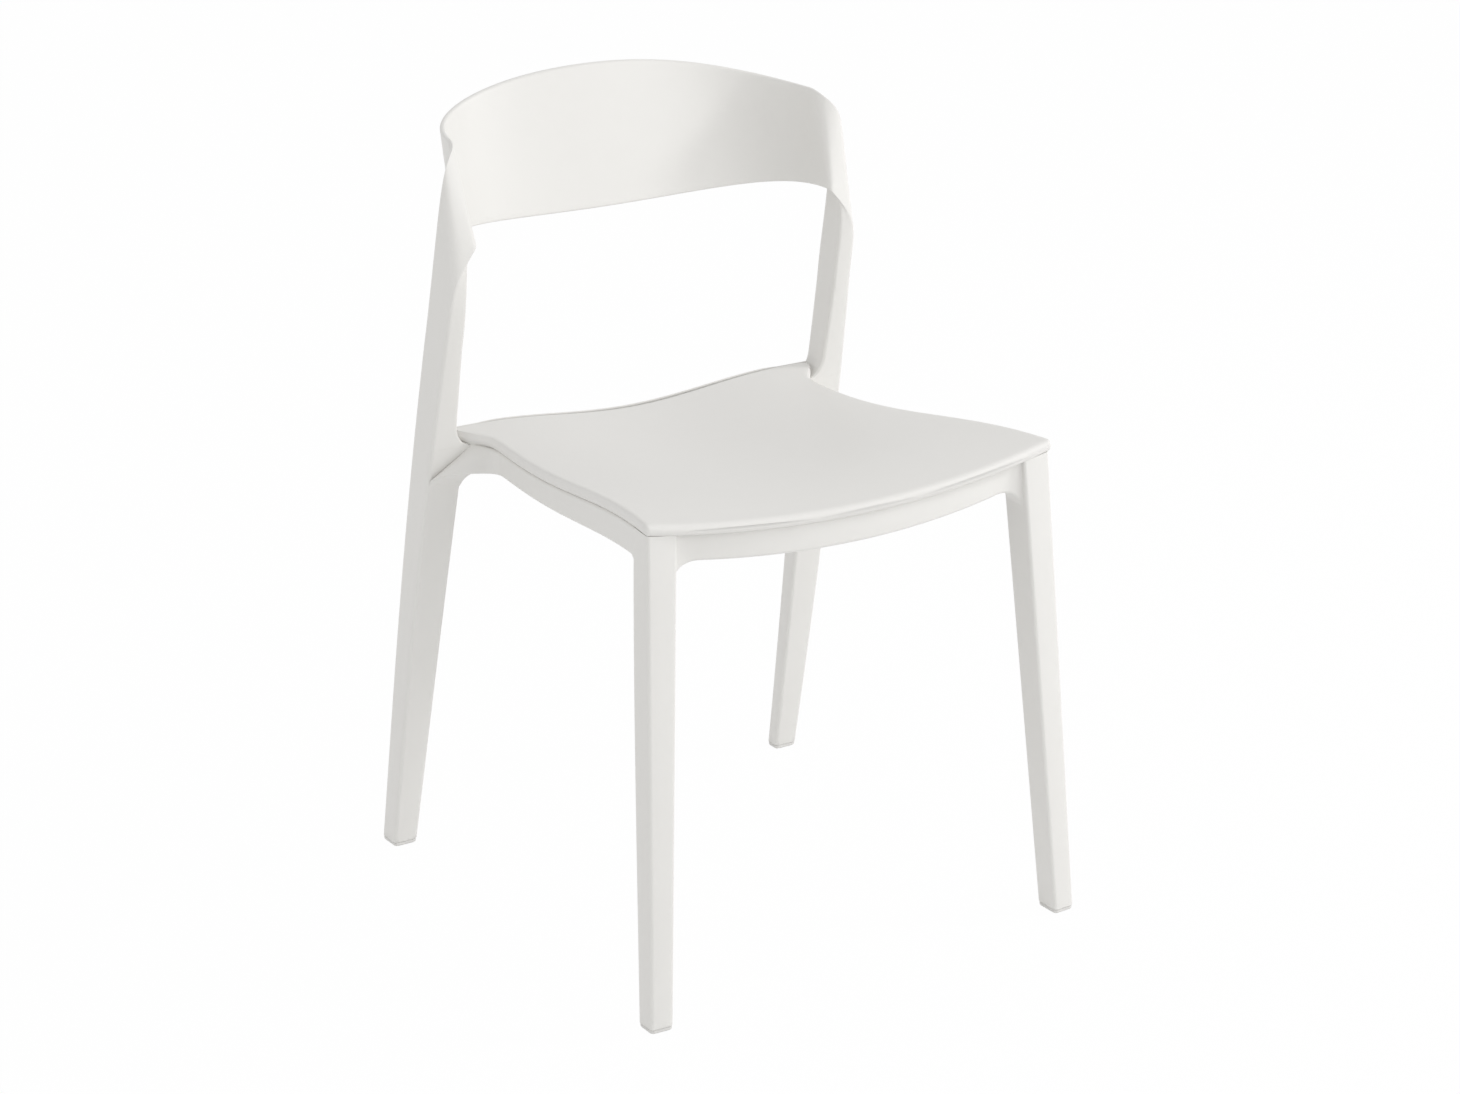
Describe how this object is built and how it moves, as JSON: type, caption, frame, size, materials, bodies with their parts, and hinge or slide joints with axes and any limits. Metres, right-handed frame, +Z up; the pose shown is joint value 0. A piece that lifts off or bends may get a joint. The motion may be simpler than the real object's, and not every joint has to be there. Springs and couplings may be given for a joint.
{
  "type": "stacking chair",
  "caption": "Armless stacking chair with tapered legs, a dished seat panel on a moulded frame, and a curved backrest band folded out of the rear posts.",
  "frame": {"origin": "on the floor under the middle of the chair, at the centre of its footprint", "axes": "+Z up; the front of the chair faces -Y; +X is towards the right seen from the front; the chair is symmetric about X = 0"},
  "size_m": [0.474, 0.497, 0.748],
  "materials": {
    "frame_plastic": "satin moulded white plastic",
    "seat_plastic": "satin moulded white plastic with a finer grain on the top",
    "glide_plastic": "matt pale grey plastic",
    "screw_steel": "zinc-plated steel"
  },
  "bodies": {
    "root": {"left_front_leg": "frame_plastic", "right_front_leg": "frame_plastic", "left_rear_leg": "frame_plastic", "right_rear_leg": "frame_plastic", "left_side_rail": "frame_plastic", "right_side_rail": "frame_plastic", "front_rail": "frame_plastic", "rear_rail": "frame_plastic", "backrest_band": "frame_plastic", "seat_panel": "seat_plastic", "left_front_glide": "glide_plastic", "right_front_glide": "glide_plastic", "left_rear_glide": "glide_plastic", "right_rear_glide": "glide_plastic", "seat_screws": "screw_steel"}
  },
  "joints": []
}
